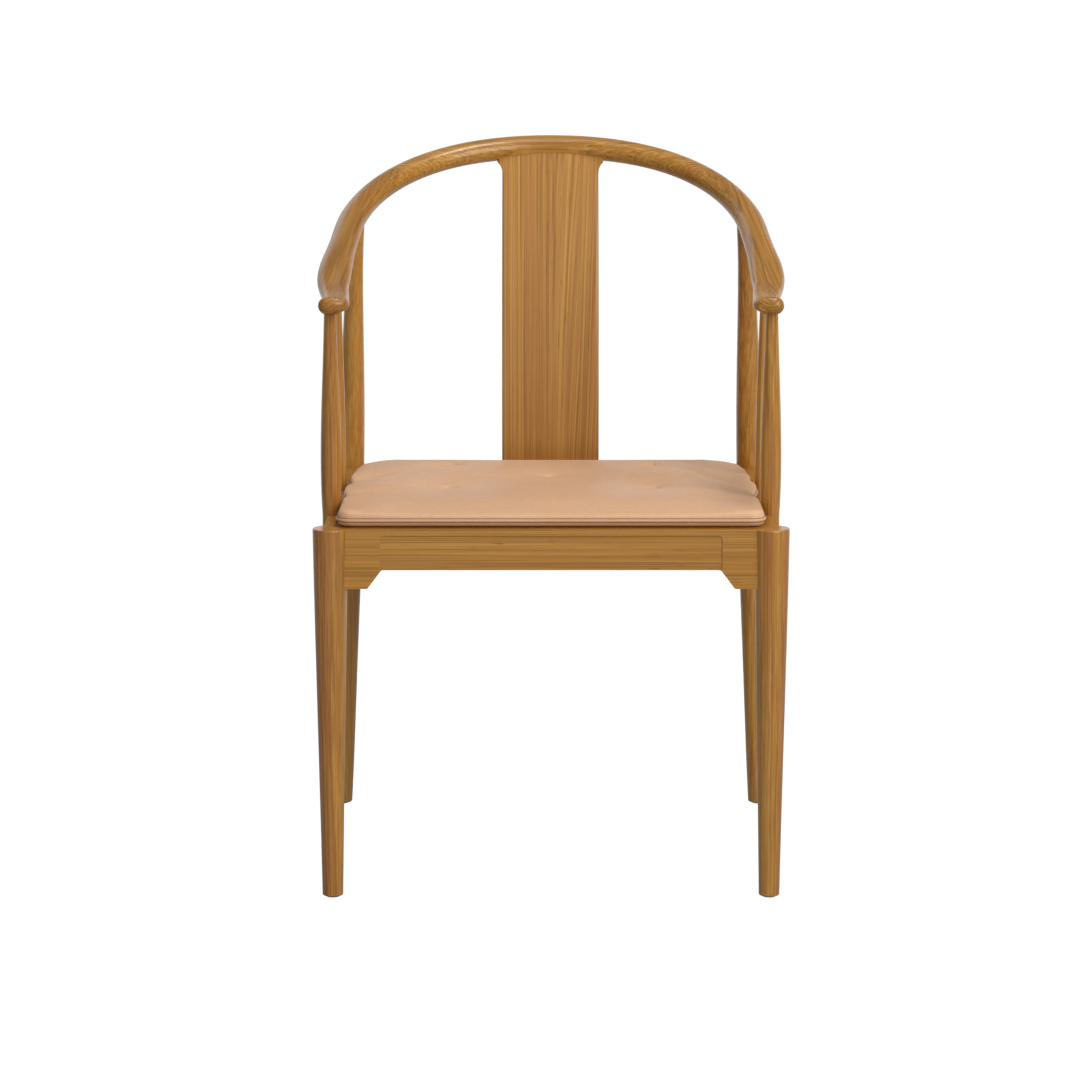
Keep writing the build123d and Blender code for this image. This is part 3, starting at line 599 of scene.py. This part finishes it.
# Four tufts in two rows, and one in the middle
TUFT_X = 0.118
TUFT_ROW_FRONT = FRONT_Y + 0.165
TUFT_ROW_REAR = FRONT_Y + 0.320
TUFTS = [(x, y) for x in (-TUFT_X, TUFT_X) for y in (TUFT_ROW_FRONT, TUFT_ROW_REAR)]
TUFTS.append((0.0, FRONT_Y + 0.2425))
# What the stuffing doesn't move: the base up to here, and round the seam and the tufts
BASE_HELD_TO = CUSHION_BASE + 0.003
SEAM_HELD = 0.0035
TUFT_HELD = 0.008
# The stuffing's cloth: how stiff, how hard blown up, for how long, and how far at most
CLOTH = dict(quality=8, mass=0.35, tension_stiffness=12, compression_stiffness=12, shear_stiffness=6,
             bending_stiffness=1.5, use_pressure=True, uniform_pressure_force=4.0,
             vertex_group_mass="held")
CLOTH_FRAMES = 20
CLOTH_REACH = 0.008
# Creases and rim shape the cushion from this far below the seam, and fully this much higher
SHAPED_BELOW_SEAM = 0.002
SHAPED_FADE = 0.006
# How much the leather stands up just inside the seam: most at the sides, none at the rear
RIM_PUFF = 0.0034
RIM_PUFF_FROM_SEAM = 0.007
RIM_PUFF_WIDTH = 0.014
RIM_PUFF_REAR_Y = FRONT_Y + 0.35
RIM_PUFF_FADE = 0.10
RIM_PUFF_MIDDLE = 0.25
RIM_PUFF_SIDE_X = 0.17
RIM_PUFF_SIDE_FADE = 0.06
# Soft valleys out to the cushion's edge: start, end, depth and half width. The fourth is a fold
# beside the welt, and the others start at a tuft
CREASES = (
    ((-TUFT_X, TUFT_ROW_FRONT), (-0.2395, FRONT_Y + 0.122), 0.0054, 0.0090),
    ((-TUFT_X, TUFT_ROW_REAR), (-0.2385, FRONT_Y + 0.208), 0.0054, 0.0095),
    ((TUFT_X, TUFT_ROW_REAR), (0.2390, FRONT_Y + 0.150), 0.0052, 0.0080),
    ((0.195, FRONT_Y + 0.345), (0.2340, FRONT_Y + 0.225), 0.0022, 0.0045),
    ((TUFT_X, TUFT_ROW_FRONT), (0.2390, FRONT_Y + 0.118), 0.0014, 0.0110),
)
# A crease ends this far along its line. It starts at these shares of its width and depth,
# widens by the third, and deepens by this power of the way along
CREASE_END = 1.15
CREASE_START_WIDTH = 0.8
CREASE_START_DEPTH = 0.35
CREASE_WIDENING = 0.7
CREASE_DEEPENING = 1.5
# The creases draw the seam in by this share of their depth, at the cushion's sides
SEAM_PULL = 0.9
SEAM_PULL_X = 0.20
SEAM_PULL_FADE = 0.036
# Cords in the seam: diameter, and how far they stand out from it. The second pair are thin dark cords that
# paint the shade lines beside the welt
WELT = (0.0040, 0.0014)
SEAM_SHADE_CORDS = (0.0008, 0.0006)
SEAM_SHADE_CORDS_FROM_SEAM = 0.0021
# Section of a covered button from its middle outwards, as (radius, height)
BUTTON_SECTION = ((0.0, 0.0011), (0.0022, 0.00105), (0.0042, 0.0006), (0.0055, -0.0002),
                  (0.0060, -0.0012), (0.0058, -0.0024))
BUTTON_SIDES = 28
BUTTON_LEVEL = TUFT_LEVEL + 0.0008


def rounded(corners):
    """Closed outline with every corner (x, y, radius) rounded off."""
    points = []
    for index, (x, y, radius) in enumerate(corners):
        here = Vector((x, y))
        back = (Vector(corners[index - 1][:2]) - here).normalized()
        ahead = (Vector(corners[(index + 1) % len(corners)][:2]) - here).normalized()
        half = back.angle(ahead) / 2
        centre = here + (back + ahead).normalized() * (radius / math.sin(half))
        start = here + back * (radius / math.tan(half)) - centre
        end = here + ahead * (radius / math.tan(half)) - centre
        sweep = start.angle_signed(end)
        for step in range(CORNER_STEPS + 1):
            spin = Matrix.Rotation(-sweep * step / CORNER_STEPS, 2)
            points.append(centre + spin @ start)
    return points


def resampled(points, spacing):
    """Closed outline walked round in even steps."""
    lengths = [(points[(index + 1) % len(points)] - point).length for index, point in enumerate(points)]
    total = sum(lengths)
    count = int(total / spacing)
    result, index, walked = [], 0, 0.0
    for step in range(count):
        goal = total * step / count
        while walked + lengths[index] < goal:
            walked += lengths[index]
            index += 1
        share = (goal - walked) / max(lengths[index], 1e-9)
        result.append(points[index].lerp(points[(index + 1) % len(points)], share))
    return result


def inset(points, distance):
    """Outline moved inwards, each point square to its neighbours."""
    moved = []
    for index, point in enumerate(points):
        run = (points[(index + 1) % len(points)] - points[index - 1]).normalized()
        moved.append(point + Vector((-run.y, run.x)) * distance)
    return moved


def seam_outline():
    """Plan of the seam, in even steps, anticlockwise."""
    left = [(-x, y, radius) for x, y, radius in reversed(CUSHION_CORNERS)]
    points = resampled(rounded([*CUSHION_CORNERS, *left]), SEAM_SPACING)
    area = sum(a.cross(b) for a, b in zip(points, points[1:] + points[:1]))
    return points if area > 0 else points[::-1]


SEAM = seam_outline()


def from_seam(place):
    """Distance in plan from the seam."""
    return min((place.xy - point).length for point in SEAM)


def crease_depth(x, y, start, end, depth, width):
    """How deep one crease is at a place in plan. It widens and deepens on its way out."""
    (x0, y0), (x1, y1) = start, end
    line = Vector((x1 - x0, y1 - y0))
    share = max(0.0, min(CREASE_END, Vector((x - x0, y - y0)).dot(line) / line.length_squared))
    nearest = Vector((x0, y0)) + line * share
    away = (Vector((x, y)) - nearest).length
    spread = width * (CREASE_START_WIDTH + CREASE_WIDENING * share)
    fade = min(1.0, CREASE_START_DEPTH + (1.0 - CREASE_START_DEPTH) * share ** CREASE_DEEPENING)
    return depth * fade * math.exp(-((away / spread) ** 2))


def creased(x, y):
    """How deep all the creases together are at a place in plan."""
    return sum(crease_depth(x, y, *crease) for crease in CREASES)


def apply_modifier(thing, name):
    bpy.context.view_layer.objects.active = thing
    bpy.ops.object.select_all(action="DESELECT")
    thing.select_set(True)
    bpy.ops.object.modifier_apply(modifier=name)


def build_cushion():
    """Flat sewn cushion with an even mesh, ready to be stuffed."""
    bm = bmesh.new()
    rings = []
    for distance, level in CUSHION_SECTION:
        rings.append([bm.verts.new((point.x, point.y, level)) for point in inset(SEAM, distance)])
    for low, high in zip(rings, rings[1:]):
        for index in range(len(SEAM)):
            after = (index + 1) % len(SEAM)
            bm.faces.new((low[index], low[after], high[after], high[index]))
    bm.faces.new(rings[0][::-1])
    bm.faces.new(rings[-1])
    cushion = add_object("leather_cushion", mesh_from(bm, "leather_cushion"))
    remesh = cushion.modifiers.new("even_faces", "REMESH")
    remesh.mode = "VOXEL"
    remesh.voxel_size = FACE_SIZE
    apply_modifier(cushion, "even_faces")
    return cushion


def sew_down(cushion):
    """Hold the base, the seam and the tufts, and set the tufts at their level."""
    held = cushion.vertex_groups.new(name="held")
    for vertex in cushion.data.vertices:
        place = vertex.co
        fixed = place.z < BASE_HELD_TO or from_seam(place) < SEAM_HELD
        if place.z > SEAM_LEVEL and min((place.xy - Vector(tuft)).length for tuft in TUFTS) < TUFT_HELD:
            place.z = TUFT_LEVEL
            fixed = True
        if fixed:
            held.add([vertex.index], 1.0, "REPLACE")


def stuff(cushion):
    """Blow the cushion up like filled leather, held where it is sewn."""
    start = [vertex.co.copy() for vertex in cushion.data.vertices]
    sew_down(cushion)
    cloth = cushion.modifiers.new("stuffing", "CLOTH")
    for key, value in CLOTH.items():
        setattr(cloth.settings, key, value)
    cloth.settings.effector_weights.gravity = 0.0
    cloth.point_cache.frame_start = 1
    cloth.point_cache.frame_end = CLOTH_FRAMES
    for step in range(1, CLOTH_FRAMES + 1):
        bpy.context.scene.frame_set(step)
    apply_modifier(cushion, "stuffing")
    bpy.context.scene.frame_set(1)
    for vertex, before in zip(cushion.data.vertices, start):
        move = vertex.co - before
        if move.length > CLOTH_REACH:
            vertex.co = before + move * (CLOTH_REACH / move.length)


def shape_cushion(cushion):
    """Creases, the seam's pull at their ends, and a fuller rim; then one subdivision."""
    for vertex in cushion.data.vertices:
        place = vertex.co
        if place.z <= BASE_HELD_TO:
            continue
        upper = clamp((place.z - SEAM_LEVEL + SHAPED_BELOW_SEAM) / SHAPED_FADE)
        drop = creased(place.x, place.y)
        forward = clamp((RIM_PUFF_REAR_Y - place.y) / RIM_PUFF_FADE)
        sideways = clamp((abs(place.x) - RIM_PUFF_SIDE_X) / RIM_PUFF_SIDE_FADE)
        share = RIM_PUFF_MIDDLE + (1.0 - RIM_PUFF_MIDDLE) * sideways
        bell = math.exp(-((from_seam(place) - RIM_PUFF_FROM_SEAM) / RIM_PUFF_WIDTH) ** 2)
        place.z += (RIM_PUFF * forward * share * bell - drop) * upper
        pull = clamp((abs(place.x) - SEAM_PULL_X) / SEAM_PULL_FADE)
        place.x -= math.copysign(drop * SEAM_PULL * pull, place.x)
    cushion.data.update()
    rounder = cushion.modifiers.new("finer", "SUBSURF")
    rounder.levels = 1
    rounder.render_levels = 1
    apply_modifier(cushion, "finer")
    shade_smooth(cushion.data)


def build_cord(name, level, diameter, proud):
    """Cord in the seam all round the cushion, drawn in at the creases' ends."""
    curve = bpy.data.curves.new(name, "CURVE")
    curve.dimensions = "3D"
    curve.bevel_depth = diameter / 2
    curve.bevel_resolution = 3
    spline = curve.splines.new("NURBS")
    points = inset(SEAM, diameter / 2 - proud)[::2]
    spline.points.add(len(points) - 1)
    for target, point in zip(spline.points, points):
        x = point.x
        if abs(x) > SEAM_PULL_X:
            x -= math.copysign(creased(x, point.y) * SEAM_PULL, x)
        target.co = (x, point.y, level, 1.0)
    spline.use_cyclic_u = True
    spline.order_u = 3
    return add_object(name, curve)


def build_button(name, x, y):
    """Small covered button, domed, with a rolled rim."""
    bm = bmesh.new()
    turns = [math.tau * side / BUTTON_SIDES for side in range(BUTTON_SIDES)]
    (_, peak_height), *section = BUTTON_SECTION
    peak = bm.verts.new((x, y, BUTTON_LEVEL + peak_height))
    rings = []
    for radius, height in section:
        rings.append([bm.verts.new((x + radius * math.cos(turn), y + radius * math.sin(turn),
                                    BUTTON_LEVEL + height)) for turn in turns])
    for index in range(BUTTON_SIDES):
        bm.faces.new((peak, rings[0][index], rings[0][(index + 1) % BUTTON_SIDES]))
    for inner, outer in zip(rings, rings[1:]):
        for index in range(BUTTON_SIDES):
            after = (index + 1) % BUTTON_SIDES
            bm.faces.new((inner[index], outer[index], outer[after], inner[after]))
    bm.faces.new(rings[-1][::-1])
    bm.normal_update()
    mesh = mesh_from(bm, name)
    shade_smooth(mesh)
    return add_object(name, mesh)


def sew_on(piece, material):
    """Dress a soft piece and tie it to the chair's one body."""
    piece.data.materials.append(material)
    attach(piece, "root")


cushion = build_cushion()
stuff(cushion)
shape_cushion(cushion)
sew_on(cushion, LEATHER)
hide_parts("cushion_cover", "cushion_foam")

welt = build_cord("leather_welt", SEAM_LEVEL, *WELT)
sew_on(welt, LEATHER)
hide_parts("cushion_piping")
# Painted shade: thin dark cords just above and below the welt, where the seam's shade lines fall
for name, side in (("seam_shade_upper", 1), ("seam_shade_lower", -1)):
    sew_on(build_cord(name, SEAM_LEVEL + side * SEAM_SHADE_CORDS_FROM_SEAM, *SEAM_SHADE_CORDS), SEAM_SHADE_MATERIAL)

buttons = [build_button(f"leather_button_{index}", x, y) for index, (x, y) in enumerate(TUFTS)]
for button in buttons:
    sew_on(button, LEATHER)
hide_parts("cushion_buttons")
